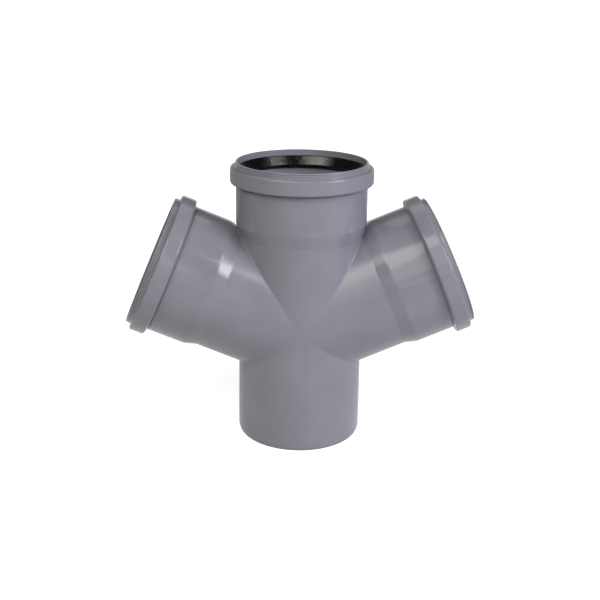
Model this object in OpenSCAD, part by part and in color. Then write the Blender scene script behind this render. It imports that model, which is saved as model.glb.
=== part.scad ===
// Double wye for push-fit drain pipe: a run with a plain spigot at its foot
// and a ring-seal socket at its top, and two equal branches, each with the
// same socket, that leave the run to left and right in one plane. The wye is
// one moulding, and a rubber lip seal lies in each of its three sockets.
// It stands on the spigot's end. Z runs up the run, and X lies in the plane
// of the branches.

/* [Pipe] */
// Outer diameter of the pipe, and of the wye's own tubes
pipe_d = 110; // [90:1:125]
// Thickness of the moulded wall
wall = 2.7; // [2.2:0.1:3.4]

/* [Layout] */
// Angle between the top socket and each branch
branch_angle = 67.5; // [55:0.5:85]
// Length from the notch between two sockets to their mouths
socket_reach = 62.3; // [56:0.1:80]
// Length from the notch under a branch to the spigot's end
spigot_length = 66.5; // [50:0.5:100]

/* [Spigot end] */
// Length of the chamfer that leads the spigot into a socket
chamfer_length = 3; // [1:0.5:5]
// Slope of that chamfer against the tube
chamfer_angle = 18; // [10:1:20]

/* [Socket tube] */
// Play between a pipe and the socket's bore, on each side
socket_play = 0.4; // [0.2:0.05:0.6]
// Length of the cone where the tube widens into the socket
step_length = 11.4; // [8:0.2:14]
// Length of the straight tube between that cone and the bead
guide_length = 34.4; // [28:0.2:36]

/* [Bead] */
// Height of the bead over the socket's tube
bead_height = 5.3; // [4.4:0.1:6]
// Width of the bead over its top
bead_width = 13.6; // [12.6:0.1:16]
// Lean of the bead's lower flank, away from the mouth
flank_lean = 16.5; // [10:0.5:24]
// Radius of the bead's outer corners
bead_round = 1.9; // [0.8:0.1:2.4]

/* [Mouth] */
// Length of the rim that stands over the bead
rim_length = 4.6; // [3.6:0.1:6]
// Play between the pipe and the mouth, on each side
mouth_play = 1.5; // [1.2:0.05:1.8]
// Thickness of the rim
rim_wall = 2.1; // [1.8:0.1:2.6]
// Radius of the rim's outer edge
rim_round = 0.9; // [0.3:0.1:1.1]
// Thickness of the bead's wall on the mouth's side
shoulder_wall = 2; // [1.6:0.1:2.4]
// Slope of the groove's upper flank
groove_slope = 18; // [10:1:24]

/* [Seal] */
// Gap between the seal and its groove
seal_gap = 0.1; // [0.05:0.05:0.2]
// Squeeze of the seal's lip on the pipe, on each side
lip_squeeze = 2.5; // [1.5:0.1:2.8]
// Thickness of the lip
lip_thickness = 1.9; // [1.4:0.1:2.4]
// Length of the band on the lip that grips the pipe
lip_band = 2; // [1.5:0.1:2.5]
// Width of the heel that fills the back of the groove
heel_width = 2.2; // [1.6:0.1:2.6]

/* [Hidden] */
$fn = 96;

// Radii of the tube, the socket, the bead with its groove, and the mouth
pipe_r = pipe_d / 2;
bore_r = pipe_r - wall;
socket_bore_r = pipe_r + socket_play;
socket_r = socket_bore_r + wall;
bead_r = socket_r + bead_height;
groove_r = bead_r - wall;
mouth_r = pipe_r + mouth_play;
rim_r = mouth_r + rim_wall;

// Rise of the bead's upper flank towards the rim
flank_rise = 0.4;

// Distances along a socket's arm, from the point where all the axes meet
socket_notch = pipe_r / tan(branch_angle / 2);
mouth = socket_notch + socket_reach;
bead_top = mouth - rim_length;
bead_bottom = bead_top - bead_width;
bead_foot = bead_bottom - bead_height * tan(flank_lean);
step_end = bead_foot - guide_length;
step_start = step_end - step_length;
groove_top = bead_top - flank_rise - shoulder_wall;
mouth_floor = groove_top + (groove_r - mouth_r) * tan(groove_slope);

// Height of the point where all the axes meet, over the spigot's end
spigot_notch = pipe_r * tan(branch_angle / 2);
junction = spigot_notch + spigot_length;

// Slope of the step, and how far a wall's inner corners lie behind the
// outer ones, at the step and at the bead's lower flank
step_angle = atan((socket_r - pipe_r) / step_length);
step_shift = wall * tan(step_angle / 2);
flank_shift = wall * tan((90 - flank_lean) / 2);

// Radii of the small moulded corners and of the softer bends
corner_round = 0.5;
bend_round = 5;
// Width of the chamfer that breaks the edge of a bore
edge_break = 0.4;
// Largest turn of an outline between two points of a round corner
turn_step = 16;
// Room that cutting shapes have past what they cut
spare = 20;

// Arc of radius r that rounds corner b of the outline a, b, c
function rounded_corner(a, b, c, r) =
    let (
        to_a = (a - b) / norm(a - b),
        to_c = (c - b) / norm(c - b),
        half = acos(to_a * to_c) / 2,
        centre = b + (to_a + to_c) / norm(to_a + to_c) * r / sin(half),
        start = b + to_a * r / tan(half) - centre,
        side = sign(cross(to_a, to_c)),
        sweep = side * (180 - 2 * half),
        steps = ceil(abs(sweep) / turn_step)
    )
    [for (i = [0 : steps])
        let (t = -sweep * i / steps)
        centre + [start.x * cos(t) - start.y * sin(t), start.x * sin(t) + start.y * cos(t)]];

// Outline with its corners rounded, each corner given as [x, y, radius]
function rounded_outline(corners) =
    let (
        n = len(corners),
        flat = [for (p = corners) [p.x, p.y]]
    )
    [for (i = [0 : n - 1])
        each corners[i][2] == 0
            ? [flat[i]]
            : rounded_corner(flat[(i + n - 1) % n], flat[i], flat[(i + 1) % n], corners[i][2])];

// Outside of a socket and its tube, from the step to the mouth
function socket_outside() = [
    [pipe_r, step_start, bend_round],
    [socket_r, step_end, bend_round],
    [socket_r, bead_foot, corner_round],
    [bead_r, bead_bottom, bead_round],
    [bead_r, bead_top - flank_rise, bead_round],
    [rim_r, bead_top, corner_round],
    [rim_r, mouth, rim_round],
    [0, mouth, 0]
];

// Inside of the same, from the step out past the mouth's broken edge
function socket_inside() = [
    [bore_r, step_start + step_shift, bend_round],
    [socket_bore_r, step_end + step_shift, bend_round],
    [socket_bore_r, bead_foot + flank_shift, corner_round],
    [groove_r, bead_bottom + flank_shift, corner_round],
    [groove_r, groove_top, corner_round],
    [mouth_r, mouth_floor, corner_round],
    [mouth_r, mouth - edge_break, 0],
    [mouth_r + edge_break + spare, mouth + spare, 0],
    [0, mouth + spare, 0]
];

// Foot of the spigot's outside, from its axis to the top of the chamfer
function spigot_outside() = [
    [0, -junction, 0],
    [pipe_r - chamfer_length * tan(chamfer_angle), -junction, 0],
    [pipe_r, chamfer_length - junction, 0]
];

// Foot of the spigot's inside, from below its broken edge
function spigot_inside() = [
    [0, -junction - spare, 0],
    [bore_r + edge_break + spare, -junction - spare, 0],
    [bore_r, edge_break - junction, 0]
];

module turned(corners) {
    rotate_extrude() polygon(rounded_outline(corners));
}

// Places a child, drawn along +Z from the junction, on the arm at an angle
module at_arm(angle) {
    translate([0, 0, junction]) rotate([0, angle, 0]) children();
}

// The straight run, from the spigot's foot to the mouth of its socket
module run(foot, socket) {
    at_arm(0) turned(concat(foot, socket));
}

// Sector along +Z with its edge on the Y axis, between the mitre planes of
// a branch against the socket above it and the spigot below it
module mitre_sector() {
    reach = mouth + spare;
    rotate([90, 0, 0])
        linear_extrude(height = 2 * (bead_r + spare), center = true)
            polygon([
                [0, 0],
                [reach / tan(branch_angle / 2), reach],
                [-reach * tan(branch_angle / 2), reach]
            ]);
}

// Outside of the right branch, mitred where it meets the run
module branch_outside() {
    at_arm(branch_angle)
        intersection() {
            turned(concat([[0, -spare, 0], [pipe_r, -spare, 0]], socket_outside()));
            mitre_sector();
        }
}

// Inside of the right branch, which starts within the run's own bore
module branch_inside() {
    at_arm(branch_angle) turned(concat([[0, 0, 0], [bore_r, 0, 0]], socket_inside()));
}

module fitting_body() {
    color("#8d8b95")
        difference() {
            union() {
                run(spigot_outside(), socket_outside());
                branch_outside();
                mirror([1, 0, 0]) branch_outside();
            }
            run(spigot_inside(), socket_inside());
            branch_inside();
            mirror([1, 0, 0]) branch_inside();
        }
}

// Rubber ring: a heel in the groove, and a lip that leans in and inwards
module seal_ring() {
    tip_round = 0.6;
    root_round = 0.8;
    lip_r = pipe_r - lip_squeeze;
    nose_r = mouth_r + corner_round;
    heel_r = groove_r - seal_gap;
    heel_inner_r = heel_r - heel_width;
    upper_gap = seal_gap / cos(groove_slope);
    lower_gap = seal_gap / cos(flank_lean);
    nose = mouth_floor - corner_round * tan(groove_slope) - upper_gap;
    heel_top = groove_top + seal_gap * tan(groove_slope) - upper_gap;
    lip_end = bead_bottom + flank_shift + lower_gap;
    heel_end = lip_end - heel_width * tan(flank_lean);
    band_top = lip_end + tip_round + lip_band;
    lean = atan((nose_r - lip_r) / (nose - band_top));
    back_r = lip_r + lip_thickness / cos(lean);
    root = lip_end + (heel_inner_r - back_r) / tan(lean);
    color("#141413")
        rotate_extrude()
            polygon(rounded_outline([
                [nose_r, nose, corner_round],
                [heel_r, heel_top, corner_round],
                [heel_r, lip_end, corner_round],
                [heel_inner_r, heel_end, corner_round],
                [heel_inner_r, root, root_round],
                [back_r, lip_end, tip_round],
                [lip_r, lip_end, tip_round],
                [lip_r, band_top, corner_round]
            ]));
}

module top_seal_ring() {
    at_arm(0) seal_ring();
}

module right_seal_ring() {
    at_arm(branch_angle) seal_ring();
}

module left_seal_ring() {
    at_arm(-branch_angle) seal_ring();
}

fitting_body();
top_seal_ring();
right_seal_ring();
left_seal_ring();
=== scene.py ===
# A double wye in grey polypropylene, with its three rubber lip seals.
import math

import bmesh
import bpy
from mathutils import Matrix, Vector


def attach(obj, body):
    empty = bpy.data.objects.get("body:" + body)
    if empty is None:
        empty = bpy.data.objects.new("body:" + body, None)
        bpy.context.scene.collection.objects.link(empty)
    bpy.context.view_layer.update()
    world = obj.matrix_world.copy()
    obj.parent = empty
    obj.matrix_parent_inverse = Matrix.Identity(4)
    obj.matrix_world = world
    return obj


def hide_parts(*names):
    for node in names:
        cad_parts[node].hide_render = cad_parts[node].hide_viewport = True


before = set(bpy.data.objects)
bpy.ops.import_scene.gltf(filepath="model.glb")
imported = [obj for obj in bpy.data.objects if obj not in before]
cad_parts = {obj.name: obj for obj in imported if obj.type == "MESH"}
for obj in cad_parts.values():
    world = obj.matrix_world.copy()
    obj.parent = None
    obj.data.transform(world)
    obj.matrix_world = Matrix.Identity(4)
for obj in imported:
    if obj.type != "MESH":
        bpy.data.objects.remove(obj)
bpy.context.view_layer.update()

print("frame loaded:", ", ".join(sorted(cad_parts)))

# How near counts as the same place, in metres
near = {"point": 1e-6, "cut": 1e-7, "plane": 2e-6, "mitre": 5e-6}


# Small helpers

def metres(millimetres):
    return millimetres / 1000


def tangent(degrees):
    return math.tan(math.radians(degrees))


def cosine(degrees):
    return math.cos(math.radians(degrees))


def deselectAll():
    if bpy.context.object and bpy.context.object.mode != "OBJECT":
        bpy.ops.object.mode_set(mode="OBJECT")
    bpy.ops.object.select_all(action="DESELECT")


def makeActive(piece):
    deselectAll()
    piece.select_set(True)
    bpy.context.view_layer.objects.active = piece


# One corner of an outline as the points of its arc, worked out in the outline's own plane
def cornerArc(before, corner, after, radius, turnStep):
    if radius == 0:
        return [corner]
    toBefore = (before - corner).normalized()
    toAfter = (after - corner).normalized()
    half = toBefore.angle(toAfter) / 2
    centre = corner + (toBefore + toAfter).normalized() * radius / math.sin(half)
    start = corner + toBefore * radius / math.tan(half) - centre
    sweep = (math.pi - 2 * half) * (-1 if toBefore.cross(toAfter) > 0 else 1)
    steps = max(1, math.ceil(abs(sweep) / math.radians(turnStep)))
    arc = []
    for i in range(steps + 1):
        turn = sweep * i / steps
        x = start.x * math.cos(turn) - start.y * math.sin(turn)
        y = start.x * math.sin(turn) + start.y * math.cos(turn)
        arc.append(centre + Vector((x, y)))
    return arc


# Corners are (distance from the axis, distance along it, radius), all in millimetres, and a round one
# turns by turnStep degrees at most from one of its points to the next
def roundedOutline(corners, turnStep=12):
    flat = [Vector((metres(r), metres(s))) for r, s, radius in corners]
    points = []
    for i, (r, s, radius) in enumerate(corners):
        after = flat[(i + 1) % len(flat)]
        points += cornerArc(flat[i - 1], flat[i], after, metres(radius), turnStep)
    return points


# A plane shrunk to one vertex, drawn out along the outline and spun round Z
def spinOutline(name, points, steps):
    deselectAll()
    bpy.ops.mesh.primitive_plane_add(location=(0, 0, 0))
    piece = bpy.context.object
    piece.name = name
    bpy.ops.object.mode_set(mode="EDIT")
    bpy.ops.mesh.merge(type="CENTER")
    bpy.ops.transform.translate(value=(points[0].x, 0, points[0].y))
    for here, there in zip(points, points[1:] + points[:1]):
        move = (there.x - here.x, 0, there.y - here.y)
        bpy.ops.mesh.extrude_vertices_move(TRANSFORM_OT_translate={"value": move})
    bpy.ops.mesh.select_all(action="SELECT")
    bpy.ops.mesh.remove_doubles(threshold=near["point"])
    bpy.ops.mesh.spin(steps=steps, angle=math.tau, center=(0, 0, 0), axis=(0, 0, 1))
    bpy.ops.mesh.select_all(action="SELECT")
    bpy.ops.mesh.remove_doubles(threshold=near["point"])
    bpy.ops.mesh.normals_make_consistent(inside=False)
    bpy.ops.object.mode_set(mode="OBJECT")
    return piece


def copyOf(piece, name):
    copied = piece.copy()
    copied.data = piece.data.copy()
    copied.name = name
    bpy.context.collection.objects.link(copied)
    return copied


# Moves a piece drawn along +Z from the junction to its arm, with its place in its mesh
def placeOnArm(piece, angle, junction):
    makeActive(piece)
    piece.rotation_euler = (0, math.radians(angle), 0)
    piece.location = (0, 0, metres(junction))
    bpy.ops.object.transform_apply(location=True, rotation=True, scale=True)


# Shades by angle and lets the large faces rule the normals, so that flat walls stay flat right up to
# their round corners
def finishShading(piece, size):
    makeActive(piece)
    bpy.ops.object.shade_smooth_by_angle(angle=math.radians(size["sharpAngle"]))
    weighted = piece.modifiers.new("wallNormals", "WEIGHTED_NORMAL")
    weighted.keep_sharp = True
    weighted.weight = size["wallWeight"]
    bpy.ops.object.modifier_apply(modifier=weighted.name)


# The fitting's body, in millimetres and degrees
body = {
    "pipe": 55.0, "wall": 2.7,  # the tubes' outer radius, and the wall all over
    "branchAngle": 67.5,
    "socketReach": 62.3, "spigotLength": 66.5,  # from the notches between the tubes to the ends
    "chamfer": 3.0, "chamferAngle": 18, "chamferRound": 0.6, "endRound": 0.25,
    "socketPlay": 0.4, "stepLength": 11.4, "guideLength": 34.4,
    "beadHeight": 5.3, "beadWidth": 13.6, "beadRound": 1.9, "flankLean": 16.5, "flankRise": 0.4,
    "rimLength": 4.6, "rimWall": 2.1, "rimRound": 0.7, "mouthPlay": 1.5,
    "shoulderWall": 2.0, "grooveSlope": 18,
    "lip": 1.1, "lipNotch": 1.0, "lipDepth": 0.5,  # the fine notch under the rim's lip
    "footNotch": 0.9, "footDepth": 0.5, "notchRound": 0.2,  # and the one at the bead's foot
    "cornerRound": 0.5, "bendRound": 5.0, "softBend": 10.0,
    "below": -30.0,  # an arm starts this far before the junction, and its mitre planes cut that off
    "creaseWidth": 0.8, "creaseSegments": 5, "creaseLeast": 4.0,  # and the least bend that is rounded
    "spinSteps": 160, "sharpAngle": 40, "wallWeight": 95,
}


# Adds the radii that follow from the body's sizes, and the distances along an arm from the junction, where
# all the axes meet
def workOutArms(size):
    size = dict(size)
    size["bore"] = size["pipe"] - size["wall"]
    size["socketBore"] = size["pipe"] + size["socketPlay"]
    size["socket"] = size["socketBore"] + size["wall"]
    size["bead"] = size["socket"] + size["beadHeight"]
    size["groove"] = size["bead"] - size["wall"]
    size["mouthBore"] = size["pipe"] + size["mouthPlay"]
    size["rim"] = size["mouthBore"] + size["rimWall"]
    notchLean = tangent(size["branchAngle"] / 2)
    size["spigotEnd"] = size["pipe"] * notchLean + size["spigotLength"]
    size["mouth"] = size["pipe"] / notchLean + size["socketReach"]
    size["beadTop"] = size["mouth"] - size["rimLength"]
    size["beadBottom"] = size["beadTop"] - size["beadWidth"]
    size["beadFoot"] = size["beadBottom"] - size["beadHeight"] * tangent(size["flankLean"])
    size["stepEnd"] = size["beadFoot"] - size["guideLength"]
    size["stepStart"] = size["stepEnd"] - size["stepLength"]
    size["grooveTop"] = size["beadTop"] - size["flankRise"] - size["shoulderWall"]
    grooveDepth = size["groove"] - size["mouthBore"]
    size["mouthFloor"] = size["grooveTop"] + grooveDepth * tangent(size["grooveSlope"])
    # how far the wall's inner corners lie behind its outer ones, at the step and at the bead's flank
    stepAngle = math.degrees(math.atan((size["socket"] - size["pipe"]) / size["stepLength"]))
    size["stepShift"] = size["wall"] * tangent(stepAngle / 2)
    size["flankShift"] = size["wall"] * tangent((90 - size["flankLean"]) / 2)
    return size


def socketOutline(size):
    corner, bend, small = size["cornerRound"], size["bendRound"], size["notchRound"]
    footFloor = size["socket"] - size["footDepth"]
    lipFoot, lipFloor = size["mouth"] - size["lip"], size["rim"] - size["lipDepth"]
    return roundedOutline([
        (size["bore"], size["below"], 0),
        (size["pipe"], size["below"], 0),
        (size["pipe"], size["stepStart"], bend),
        (size["socket"], size["stepEnd"], size["softBend"]),
        (size["socket"], size["beadFoot"] - size["footNotch"], small),
        (footFloor, size["beadFoot"] - size["footDepth"], small),
        (footFloor, size["beadFoot"], 0),
        (size["socket"], size["beadFoot"], 0),
        (size["bead"], size["beadBottom"], size["beadRound"]),
        (size["bead"], size["beadTop"] - size["flankRise"], size["beadRound"]),
        (size["rim"], size["beadTop"], corner),
        (size["rim"], lipFoot - size["lipNotch"], small),
        (lipFloor, lipFoot - size["lipDepth"], small),
        (lipFloor, lipFoot, 0),
        (size["rim"], lipFoot, small),
        (size["rim"], size["mouth"], size["rimRound"]),
        (size["mouthBore"], size["mouth"], corner),
        (size["mouthBore"], size["mouthFloor"], corner),
        (size["groove"], size["grooveTop"], corner),
        (size["groove"], size["beadBottom"] + size["flankShift"], corner),
        (size["socketBore"], size["beadFoot"] + size["flankShift"], corner),
        (size["socketBore"], size["stepEnd"] + size["stepShift"], bend),
        (size["bore"], size["stepStart"] + size["stepShift"], bend),
    ])


def spigotOutline(size):
    chamferFoot = size["pipe"] - size["chamfer"] * tangent(size["chamferAngle"])
    return roundedOutline([
        (size["bore"], size["below"], 0),
        (size["pipe"], size["below"], 0),
        (size["pipe"], size["spigotEnd"] - size["chamfer"], size["chamferRound"]),
        (chamferFoot, size["spigotEnd"], size["endRound"]),
        (size["bore"], size["spigotEnd"], size["cornerRound"]),
    ])


# Cuts an arm along its two mitre planes: both hold the Y axis, and each leans by half the angle to the
# next arm
def mitreArm(piece, leftAngle, rightAngle):
    makeActive(piece)
    bpy.ops.object.mode_set(mode="EDIT")
    for side, angle in ((1, rightAngle), (-1, leftAngle)):
        lean = math.radians(angle / 2)
        normal = (side * math.cos(lean), 0, -math.sin(lean))
        bpy.ops.mesh.select_all(action="SELECT")
        bpy.ops.mesh.bisect(plane_co=(0, 0, 0), plane_no=normal, clear_outer=True, threshold=near["cut"])
    bpy.ops.object.mode_set(mode="OBJECT")


# Selects the edges that lie in a mitre plane and really bend, so that they can be rounded
def selectCreases(piece, size):
    half = math.radians(size["branchAngle"] / 2)
    junction = Vector((0, 0, metres(size["spigotEnd"])))
    planes = [Vector((side * math.cos(lean), 0, -math.sin(lean)))
              for side in (1, -1) for lean in (half, half + math.pi / 2)]
    bpy.ops.mesh.select_all(action="DESELECT")
    mesh = bmesh.from_edit_mesh(piece.data)
    least = math.radians(size["creaseLeast"])
    chosen = 0
    for edge in mesh.edges:
        ends = [vert.co - junction for vert in edge.verts]
        inPlane = any(all(abs(end.dot(normal)) < near["plane"] for end in ends) for normal in planes)
        if inPlane and len(edge.link_faces) == 2 and edge.calc_face_angle() > least:
            edge.select_set(True)
            chosen += 1
    bmesh.update_edit_mesh(piece.data)
    return chosen


def makeBody(size):
    topArm = spinOutline("topArm", socketOutline(size), size["spinSteps"])
    arms = [topArm, copyOf(topArm, "rightArm"), copyOf(topArm, "leftArm"),
            spinOutline("spigotArm", spigotOutline(size), size["spinSteps"])]
    # each arm's turn from the top, and the angles to its neighbours on the left and on the right
    angle, below = size["branchAngle"], 180 - size["branchAngle"]
    places = [(0, angle, angle), (angle, angle, below), (-angle, below, angle), (180, below, below)]
    for arm, (turn, left, right) in zip(arms, places):
        mitreArm(arm, left, right)
        placeOnArm(arm, turn, size["spigotEnd"])
    deselectAll()
    for arm in arms:
        arm.select_set(True)
    piece = topArm
    bpy.context.view_layer.objects.active = piece
    bpy.ops.object.join()
    piece.name = "grey_body"
    bpy.ops.object.mode_set(mode="EDIT")
    bpy.ops.mesh.select_all(action="SELECT")
    bpy.ops.mesh.remove_doubles(threshold=near["mitre"])
    bpy.ops.mesh.normals_make_consistent(inside=False)
    bpy.ops.mesh.select_mode(type="EDGE")
    creases = selectCreases(piece, size)
    bpy.ops.mesh.bevel(offset=metres(size["creaseWidth"]), segments=size["creaseSegments"], affect="EDGES")
    bpy.ops.mesh.select_mode(type="VERT")
    bpy.ops.object.mode_set(mode="OBJECT")
    print("body joined:", creases, "crease edges rounded")
    return piece


# A lip seal ring, in millimetres, which takes its place from the groove
seal = {
    "gap": 0.1,  # to the groove, all round
    "squeeze": 2.5, "band": 2.0,  # how far the lip reaches into the pipe, and the length that grips it
    "lipWidth": 2.25, "rootRise": 5.89,  # at the lip's end, and from there to where it leaves the heel
    "heelWidth": 2.2,
    "tipRound": 0.6, "rootRound": 0.8, "cornerRound": 0.5,
    "spinSteps": 160, "sharpAngle": 40, "wallWeight": 95,
}


def sealOutline(size, socket):
    corner, slope, flank = size["cornerRound"], socket["grooveSlope"], socket["flankLean"]
    nose = socket["mouthBore"] + corner
    heel = socket["groove"] - size["gap"]
    heelInner = heel - size["heelWidth"]
    lip = socket["pipe"] - size["squeeze"]
    upperGap = size["gap"] / cosine(slope)
    noseAt = socket["mouthFloor"] - corner * tangent(slope) - upperGap
    heelTop = socket["grooveTop"] + size["gap"] * tangent(slope) - upperGap
    lipEnd = socket["beadBottom"] + socket["flankShift"] + size["gap"] / cosine(flank)
    return roundedOutline([
        (nose, noseAt, corner),
        (heel, heelTop, corner),
        (heel, lipEnd, corner),
        (heelInner, lipEnd - size["heelWidth"] * tangent(flank), corner),
        (heelInner, lipEnd + size["rootRise"], size["rootRound"]),
        (lip + size["lipWidth"], lipEnd, size["tipRound"]),
        (lip, lipEnd, size["tipRound"]),
        (lip, lipEnd + size["tipRound"] + size["band"], corner),
    ])


# Materials

def linearColour(hexText):
    channels = [int(hexText[i:i + 2], 16) / 255 for i in (1, 3, 5)]
    return tuple(c / 12.92 if c <= 0.04045 else ((c + 0.055) / 1.055) ** 2.4 for c in channels) + (1,)


# Each value is another node's output to link, or else it is set on an input or as a setting
def addNode(tree, kind, values=None):
    node = tree.nodes.new(kind)
    for name, value in (values or {}).items():
        if isinstance(value, bpy.types.NodeSocket):
            tree.links.new(value, node.inputs[name])
        elif isinstance(name, int) or name in node.inputs:
            node.inputs[name].default_value = value
        else:
            setattr(node, name, value)
    return node


def newMaterial(name):
    material = bpy.data.materials.new(name)
    material.use_nodes = True
    material.node_tree.nodes.clear()
    return material, material.node_tree


# Settings that turn a stretch of values into levels, eased at both ends
def easing(stretch, levels):
    return {"interpolation_type": "SMOOTHSTEP",
            "From Min": stretch[0], "From Max": stretch[1], "To Min": levels[0], "To Max": levels[1]}


# Patches of a real size in millimetres, between two levels. Nearly all of a noise lies in its middle half,
# and easing it there leaves the patches no outlines
def patches(tree, point, size, detail, levels):
    noise = addNode(tree, "ShaderNodeTexNoise", {
        "Vector": point, "Scale": 1 / metres(size), "Detail": detail,
    }).outputs["Fac"]
    middleHalf = (0.25, 0.75)
    return addNode(tree, "ShaderNodeMapRange", {
        "Value": noise, **easing(middleHalf, levels),
    }).outputs["Result"]


# A colour in patches; a mix has its share at input 0 and its two colours at inputs 6 and 7
def patchyColour(tree, point, size, detail, dark, pale):
    share = patches(tree, point, size, detail, (0, 1))
    return addNode(tree, "ShaderNodeMix", {
        "data_type": "RGBA", 0: share, 6: linearColour(dark), 7: linearColour(pale),
    }).outputs[2]


# Bumps of a real size and height in millimetres, on top of coarser ones where normal gives those
def bumps(tree, point, size, detail, height, normal=None):
    noise = addNode(tree, "ShaderNodeTexNoise", {
        "Vector": point, "Scale": 1 / metres(size), "Detail": detail,
    }).outputs["Fac"]
    bump = addNode(tree, "ShaderNodeBump", {"Height": noise, "Distance": metres(height)})
    if normal:
        tree.links.new(normal, bump.inputs["Normal"])
    return bump.outputs["Normal"]


# Polypropylene, injection moulded: cool grey, with the satin gloss of a plain mould on the tubes and a
# brighter one on the sockets, whose mould is polished. The melt's flow clouds both a little, the wall is
# faintly wavy where it shrank, and the mould's grain, finer in truth, is drawn 0.7 mm coarse to show
polypropylene = {
    "dark": "#8a8893", "pale": "#908e99", "cloudSize": 38, "cloudDetail": 2,
    "socketDullness": (0.13, 0.17), "flowSize": 22, "flowDetail": 2, "flowStretch": 3,
    "tubeDulling": 0.09, "tubeReach": (93, 97),  # added up to here, in millimetres from the junction
    "ior": 1.49,
    "waveSize": 20, "waveDetail": 1, "waveHeight": 0.008,
    "grainSize": 0.7, "grainDetail": 2, "grainHeight": 0.0012,
}


def makePolypropylene(look, junction):
    material, tree = newMaterial("polypropylene_moulded_grey")
    point = addNode(tree, "ShaderNodeTexCoord").outputs["Object"]
    colour = patchyColour(tree, point, look["cloudSize"], look["cloudDetail"], look["dark"], look["pale"])
    # the melt flows up and out from the gate, so its clouds are drawn out along Z
    flow = addNode(tree, "ShaderNodeMapping", {
        "Vector": point, "Scale": (1, 1, 1 / look["flowStretch"]),
    }).outputs["Vector"]
    socketDullness = patches(tree, flow, look["flowSize"], look["flowDetail"], look["socketDullness"])
    fromJunction = addNode(tree, "ShaderNodeVectorMath", {
        "operation": "SUBTRACT", 0: point, 1: (0, 0, metres(junction)),
    })
    # the spigot is a tube to its end, so what lies below the junction counts as level with it
    farSide = -1  # in metres, past any X or Y of the part
    lifted = addNode(tree, "ShaderNodeVectorMath", {
        "operation": "MAXIMUM", 0: fromJunction.outputs["Vector"], 1: (farSide, farSide, 0),
    })
    away = addNode(tree, "ShaderNodeVectorMath", {"operation": "LENGTH", 0: lifted.outputs["Vector"]})
    tubeEnd = [metres(distance) for distance in look["tubeReach"]]
    tubeDullness = addNode(tree, "ShaderNodeMapRange", {
        "Value": away.outputs["Value"], **easing(tubeEnd, (look["tubeDulling"], 0)),
    })
    dullness = addNode(tree, "ShaderNodeMath", {
        "operation": "ADD", 0: socketDullness, 1: tubeDullness.outputs["Result"],
    })
    wave = bumps(tree, point, look["waveSize"], look["waveDetail"], look["waveHeight"])
    grain = bumps(tree, point, look["grainSize"], look["grainDetail"], look["grainHeight"], wave)
    shader = addNode(tree, "ShaderNodeBsdfPrincipled", {
        "Base Color": colour, "Roughness": dullness.outputs["Value"], "IOR": look["ior"], "Normal": grain,
    })
    addNode(tree, "ShaderNodeOutputMaterial", {"Surface": shader.outputs["BSDF"]})
    return material


# EPDM rubber, moulded and wiped with lubricant: near black, with wet glints where the film has run into
# beads and a duller skin where it is wiped thin. Its grain too is drawn coarser than it is, to show
sealRubber = {
    "dark": "#060606", "pale": "#0d0d0d", "patchSize": 9, "patchDetail": 3,
    "wetToDry": (0.15, 0.28), "filmSize": 12, "filmDetail": 4,
    "ior": 1.5,
    "beadSize": 3.2, "beadDetail": 2, "beadStretch": 2.5, "beadHeight": 0.15,
    "grainSize": 0.5, "grainDetail": 2, "grainHeight": 0.003,
}


def makeRubber(look):
    material, tree = newMaterial("rubber_moulded_black")
    point = addNode(tree, "ShaderNodeTexCoord").outputs["Object"]
    colour = patchyColour(tree, point, look["patchSize"], look["patchDetail"], look["dark"], look["pale"])
    dullness = patches(tree, point, look["filmSize"], look["filmDetail"], look["wetToDry"])
    # the lubricant runs down the lip, so its beads are drawn out along Z
    running = addNode(tree, "ShaderNodeMapping", {
        "Vector": point, "Scale": (1, 1, 1 / look["beadStretch"]),
    }).outputs["Vector"]
    beads = bumps(tree, running, look["beadSize"], look["beadDetail"], look["beadHeight"])
    grain = bumps(tree, point, look["grainSize"], look["grainDetail"], look["grainHeight"], beads)
    shader = addNode(tree, "ShaderNodeBsdfPrincipled", {
        "Base Color": colour, "Roughness": dullness, "IOR": look["ior"], "Normal": grain,
    })
    addNode(tree, "ShaderNodeOutputMaterial", {"Surface": shader.outputs["BSDF"]})
    return material


# The pieces

bodySizes = workOutArms(body)
greyPlastic = makePolypropylene(polypropylene, bodySizes["spigotEnd"])
blackRubber = makeRubber(sealRubber)

greyBody = makeBody(bodySizes)
finishShading(greyBody, bodySizes)
greyBody.data.materials.append(greyPlastic)
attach(greyBody, "root")
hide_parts("fitting_body")
print("body done:", len(greyBody.data.polygons), "faces")

topRing = spinOutline("top_lip_seal", sealOutline(seal, bodySizes), seal["spinSteps"])
for side, ring, angle in (
        ("top", topRing, 0),
        ("right", copyOf(topRing, "right_lip_seal"), body["branchAngle"]),
        ("left", copyOf(topRing, "left_lip_seal"), -body["branchAngle"])):
    placeOnArm(ring, angle, bodySizes["spigotEnd"])
    finishShading(ring, seal)
    ring.data.materials.append(blackRubber)
    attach(ring, "root")
    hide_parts(side + "_seal_ring")
print("seals done")

# The camera stands where the photograph was taken from, in millimetres and degrees
camera = {
    "place": (-48.38, -810.86, 403.40), "turn": -3.293, "tilt": 11.872, "roll": 0.804,
    "lens": 56.57, "sensor": 36, "shift": -0.2038,
}
cameraData = bpy.data.cameras.new("photo_camera")
cameraData.lens = camera["lens"]
cameraData.sensor_width = camera["sensor"]
cameraData.shift_y = camera["shift"]
cameraObject = bpy.data.objects.new("photo_camera", cameraData)
bpy.context.collection.objects.link(cameraObject)
aim = Matrix.Translation([metres(v) for v in camera["place"]])
for angle, axis in ((camera["turn"], "Z"), (90 - camera["tilt"], "X"), (camera["roll"], "Z")):
    aim = aim @ Matrix.Rotation(math.radians(angle), 4, axis)
cameraObject.matrix_world = aim
bpy.context.scene.camera = cameraObject


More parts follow.
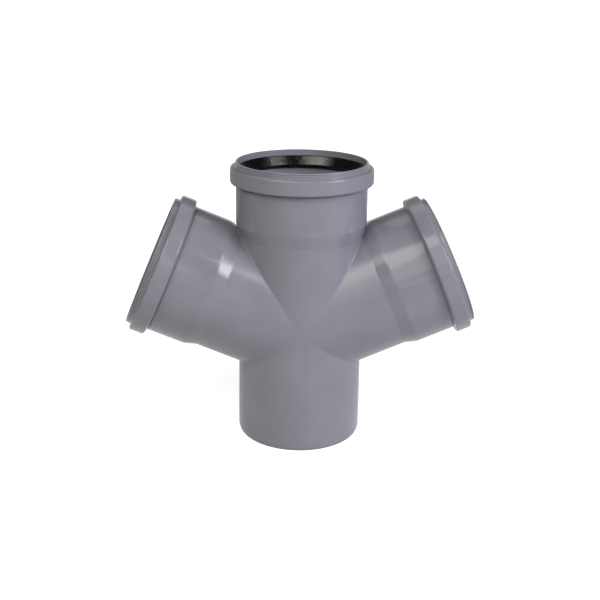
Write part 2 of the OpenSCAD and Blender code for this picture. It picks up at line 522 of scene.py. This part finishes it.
# How bright a surface looks to the camera, and how bright in a gloss or through a clear material. It gives
# no light to anything else
def seenStrength(tree, toCamera, inGloss):
    path = addNode(tree, "ShaderNodeLightPath").outputs
    gloss = addNode(tree, "ShaderNodeMath", {
        "operation": "MAXIMUM", 0: path["Is Glossy Ray"], 1: path["Is Transmission Ray"],
    }).outputs["Value"]
    seen = addNode(tree, "ShaderNodeMath", {
        "operation": "MULTIPLY", 0: path["Is Camera Ray"], 1: toCamera,
    }).outputs["Value"]
    return addNode(tree, "ShaderNodeMath", {
        "operation": "MULTIPLY_ADD", 0: gloss, 1: inGloss, 2: seen,
    }).outputs["Value"]


# White paper floor, in metres: its own shade takes the part's shadow, and a glow that only the camera and
# glosses see lifts it to white. A gloss sees the paper round the part, and the dim room beyond it
floorLook = {
    "size": 12, "paper": "#d4d4d4",
    "glow": (0.82, 1.0), "glowStretch": (0.4, 1.4),
    "mirrored": (0.5, 0.05), "mirroredStretch": (0.2, 0.6),
}
deselectAll()
bpy.ops.mesh.primitive_plane_add(size=floorLook["size"], location=(0, 0, 0))
floor = bpy.context.object
floor.name = "floor"
floorMaterial, floorTree = newMaterial("studio_floor")
floorPoint = addNode(floorTree, "ShaderNodeTexCoord").outputs["Object"]
fromPart = addNode(floorTree, "ShaderNodeVectorMath", {"operation": "LENGTH", 0: floorPoint})
glow = addNode(floorTree, "ShaderNodeMapRange", {
    "Value": fromPart.outputs["Value"], **easing(floorLook["glowStretch"], floorLook["glow"]),
}).outputs["Result"]
mirrored = addNode(floorTree, "ShaderNodeMapRange", {
    "Value": fromPart.outputs["Value"], **easing(floorLook["mirroredStretch"], floorLook["mirrored"]),
}).outputs["Result"]
floorStrength = seenStrength(floorTree, glow, mirrored)
floorGlow = addNode(floorTree, "ShaderNodeEmission", {"Strength": floorStrength})
floorPaper = addNode(floorTree, "ShaderNodeBsdfDiffuse", {"Color": linearColour(floorLook["paper"])})
floorSum = addNode(floorTree, "ShaderNodeAddShader", {
    0: floorPaper.outputs["BSDF"], 1: floorGlow.outputs["Emission"],
})
addNode(floorTree, "ShaderNodeOutputMaterial", {"Surface": floorSum.outputs["Shader"]})
floor.data.materials.append(floorMaterial)

# Softboxes round the part, in degrees, metres and watts. Turn and height are as seen from the part, where
# turn 0 is the front and + the right. A lamp without glints shows in no gloss
lamps = [
    {"name": "rightSoftbox", "turn": 56, "height": 22, "distance": 1.6, "size": (0.55, 0.5), "power": 10.9,
     "tint": "#f0efff"},
    {"name": "rightTop", "turn": 50, "height": 41, "distance": 1.6, "size": (0.8, 0.5), "power": 6.6,
     "tint": "#fdfffb"},
    {"name": "leftSoftbox", "turn": -33, "height": 49, "distance": 1.6, "size": (0.95, 0.65), "power": 7.3,
     "tint": "#fbfff4"},
    {"name": "leftBulb", "turn": -31, "height": 50, "distance": 1.6, "size": (0.22, 0.16), "power": 0.3,
     "tint": "#fcffe8"},
    {"name": "leftFill", "turn": -54, "height": 42, "distance": 1.6, "size": (0.6, 0.5), "power": 2.4,
     "tint": "#fffdff"},
    {"name": "frontFill", "turn": -12, "height": 28, "distance": 1.8, "size": (1.3, 0.8), "power": 5.1,
     "tint": "#fdfdef"},
    {"name": "backRim", "turn": 180, "height": 55, "distance": 2.2, "size": (1.6, 1.0), "power": 4.0,
     "tint": "#ffffff"},
    {"name": "backFill", "turn": 180, "height": 25, "distance": 2.4, "size": (2.4, 1.2), "power": 11.0,
     "tint": "#ffffff", "glints": False},
]
partMiddle = Vector((0, 0, metres(120)))
for lamp in lamps:
    lampData = bpy.data.lights.new(lamp["name"], "AREA")
    lampData.shape = "RECTANGLE"
    lampData.size, lampData.size_y = lamp["size"]
    lampData.energy = lamp["power"]
    lampData.color = linearColour(lamp["tint"])[:3]
    lampObject = bpy.data.objects.new(lamp["name"], lampData)
    bpy.context.collection.objects.link(lampObject)
    lampObject.visible_glossy = lamp.get("glints", True)
    turn, height = math.radians(lamp["turn"]), math.radians(lamp["height"])
    direction = Vector((math.cos(height) * math.sin(turn), -math.cos(height) * math.cos(turn),
                        math.sin(height)))
    lampObject.location = partMiddle + direction * lamp["distance"]
    lampObject.rotation_euler = (-direction).to_track_quat("-Z", "Y").to_euler()

# White all round for the camera. A gloss sees white at the foot of the studio's walls and a dim ceiling,
# and the softboxes alone light the part
room = {"white": "#ffffff", "toCamera": 1.0, "wallStretch": (0.0, 0.3), "mirrored": (1.0, 0.05)}
world = bpy.data.worlds.new("studio")
world.use_nodes = True
roomTree = world.node_tree
roomTree.nodes.clear()
lookingTo = addNode(roomTree, "ShaderNodeTexCoord").outputs["Generated"]
wallHeight = addNode(roomTree, "ShaderNodeSeparateXYZ", {"Vector": lookingTo}).outputs["Z"]
wallMirrored = addNode(roomTree, "ShaderNodeMapRange", {
    "Value": wallHeight, **easing(room["wallStretch"], room["mirrored"]),
}).outputs["Result"]
sky = addNode(roomTree, "ShaderNodeBackground", {
    "Color": linearColour(room["white"]),
    "Strength": seenStrength(roomTree, room["toCamera"], wallMirrored),
})
addNode(roomTree, "ShaderNodeOutputWorld", {"Surface": sky.outputs["Background"]})
bpy.context.scene.world = world
bpy.context.scene.view_settings.view_transform = "Standard"
print("camera, floor and", len(lamps), "lamps done")

bpy.context.view_layer.update()
